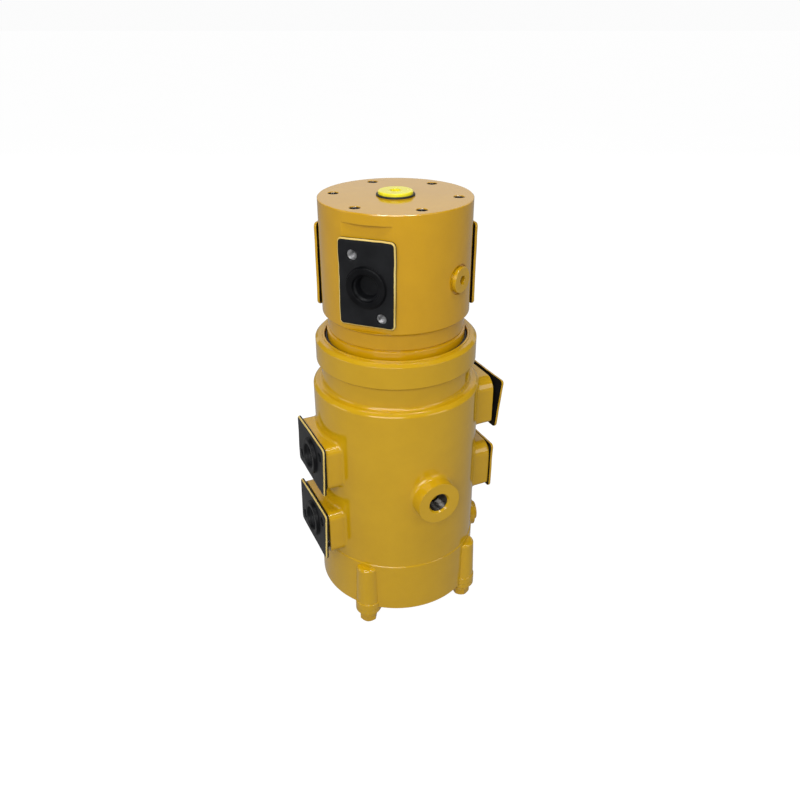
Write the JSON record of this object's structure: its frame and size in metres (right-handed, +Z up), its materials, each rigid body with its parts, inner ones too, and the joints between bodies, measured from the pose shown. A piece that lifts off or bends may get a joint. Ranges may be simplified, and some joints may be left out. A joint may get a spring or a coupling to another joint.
{
  "type": "hydraulic rotary union",
  "caption": "Upright hydraulic rotary union with a flange-ported rotor head turning in a ribbed cylindrical housing, black port covers and a painted enamel finish.",
  "frame": {"origin": "on the axis of rotation, in the plane of the rotor's top mounting face", "axes": "+Z up along the axis of rotation, out of the top mounting face; the housing's port pads face azimuths -155 and 25 degrees from +X"},
  "size_m": [0.2227, 0.1904, 0.4577],
  "materials": {
    "yellow_enamel": "gloss enamel over castings, slightly orange-peeled",
    "bare_steel": "machined",
    "cover_rubber": "moulded, satin",
    "seal_rubber": "matt",
    "bearing_bronze": "machined",
    "slipper_plastic": "machined",
    "plug_plastic": "moulded"
  },
  "bodies": {
    "housing_body": {"housing": "yellow_enamel", "slipper_seal_rings": "slipper_plastic", "seal_energiser_rings": "seal_rubber", "upper_bearing_bush": "bearing_bronze", "lower_bearing_bush": "bearing_bronze", "upper_thrust_washer": "bearing_bronze", "lower_thrust_washer": "bearing_bronze", "dust_seal_case": "yellow_enamel", "dust_seal_lip": "seal_rubber", "bottom_cover": "yellow_enamel", "bottom_cover_seal": "seal_rubber", "bottom_cover_bolts": "yellow_enamel", "bottom_cover_washers": "yellow_enamel", "housing_port_cover_left_upper": "cover_rubber", "housing_port_cover_left_lower": "cover_rubber", "housing_port_cover_right_upper": "cover_rubber", "housing_port_cover_right_lower": "cover_rubber", "leak_port_plug": "yellow_enamel", "leak_port_plug_seal": "seal_rubber"},
    "rotor_body": {"rotor": "yellow_enamel", "thrust_plate": "bare_steel", "thrust_plate_screws": "bare_steel", "passage_plugs": "bare_steel", "head_side_plug": "yellow_enamel", "head_side_plug_seal": "seal_rubber", "centre_plug": "plug_plastic", "centre_plug_seal": "seal_rubber", "head_port_cover_front": "cover_rubber", "head_port_cover_right": "cover_rubber", "head_port_cover_rear": "cover_rubber", "head_port_cover_left": "cover_rubber"}
  },
  "joints": [
    {"name": "rotor_spin", "type": "hinge", "parent": "housing_body", "child": "rotor_body", "pos_m": [0, 0, 0], "axis": [0, 0, 1], "continuous": true}
  ]
}
